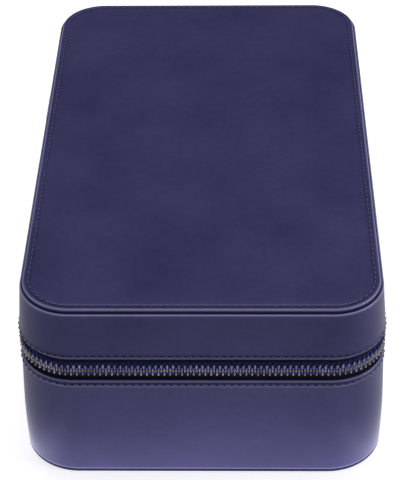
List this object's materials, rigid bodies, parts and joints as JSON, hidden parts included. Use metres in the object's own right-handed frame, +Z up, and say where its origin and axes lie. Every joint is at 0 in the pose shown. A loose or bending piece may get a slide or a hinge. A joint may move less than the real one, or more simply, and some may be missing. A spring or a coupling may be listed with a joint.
{
  "type": "leather jewellery case",
  "caption": "Rounded zip-around leather jewellery case with a padded hinged lid, suede lining and a lift-out tray with ring rolls.",
  "frame": {"origin": "centre of the flat underside", "axes": "+Z up, -Y towards the front end that the zip crosses, +Y towards the hinge, +X to the right seen from the front"},
  "size_m": [0.1544, 0.2466, 0.0865],
  "materials": {
    "navy_leather": "smooth fine-grained navy leather with a soft satin sheen and pale, burnished cut edges",
    "navy_thread": "twisted polyester sewing thread, tone on tone with the leather",
    "zip_tape": "woven royal-to-navy blue zip tape, matt",
    "zip_metal": "dark gunmetal plating, polished high spots",
    "grey_suede": "short-nap grey microsuede, matt",
    "fibreboard": "bare brown fibreboard, matt",
    "foam": "off-white open-cell foam sheet"
  },
  "bodies": {
    "base": {"base_bottom_panel": "navy_leather", "base_leather_band": "navy_leather", "base_board_tub": "fibreboard", "base_rim_board": "fibreboard", "base_suede_lining": "grey_suede", "base_zip_tape": "zip_tape", "hinge_leather_base_leaf": "navy_leather", "hinge_cloth_base_leaf": "grey_suede", "base_zip_teeth": "zip_metal", "base_zip_stop_left": "zip_metal", "base_zip_stop_right": "zip_metal", "base_hem_stitching": "navy_thread", "lower_divider_front": "grey_suede", "lower_divider_rear": "grey_suede", "lower_divider_lengthwise": "grey_suede"},
    "lid": {"lid_top_panel": "navy_leather", "lid_top_foam": "foam", "lid_top_stitching": "navy_thread", "lid_leather_band": "navy_leather", "lid_hem_stitching": "navy_thread", "lid_board_tub": "fibreboard", "lid_rim_board": "fibreboard", "lid_suede_lining": "grey_suede", "lid_pad": "grey_suede", "lid_zip_tape": "zip_tape", "hinge_leather_lid_leaf": "navy_leather", "hinge_cloth_lid_leaf": "grey_suede", "lid_zip_teeth": "zip_metal", "lid_zip_stop_left": "zip_metal", "lid_zip_stop_right": "zip_metal"},
    "zip_slider": {"zip_slider": "zip_metal"},
    "zip_pull": {"pull_link": "zip_metal", "pull_leather_tab": "navy_leather"},
    "tray": {"tray_shell": "fibreboard", "tray_suede_lining": "grey_suede", "ring_roll_1": "grey_suede", "ring_roll_2": "grey_suede", "ring_roll_3": "grey_suede", "ring_roll_4": "grey_suede", "ring_roll_5": "grey_suede", "ring_roll_6": "grey_suede", "ring_roll_7": "grey_suede", "tray_divider_crosswise": "grey_suede", "tray_divider_lengthwise": "grey_suede", "tray_divider_short": "grey_suede", "tray_pull_left": "navy_leather", "tray_pull_right": "navy_leather"}
  },
  "joints": [
    {"name": "lid_hinge", "type": "hinge", "parent": "base", "child": "lid", "pos_m": [0, 0.1225, 0.05685], "axis": [-1, 0, 0], "range_deg": [0, 105]},
    {"name": "zip_slide", "type": "slide", "parent": "base", "child": "zip_slider", "axis": [0, -1, 0], "range_m": [0, 0.175]},
    {"name": "pull_swing", "type": "hinge", "parent": "zip_slider", "child": "zip_pull", "pos_m": [-0.07715, 0.0865, 0.05685], "axis": [0, 0, -1], "range_deg": [0, 175]},
    {"name": "tray_lift", "type": "slide", "parent": "base", "child": "tray", "axis": [0, 0, 1], "range_m": [0, 0.015]}
  ]
}
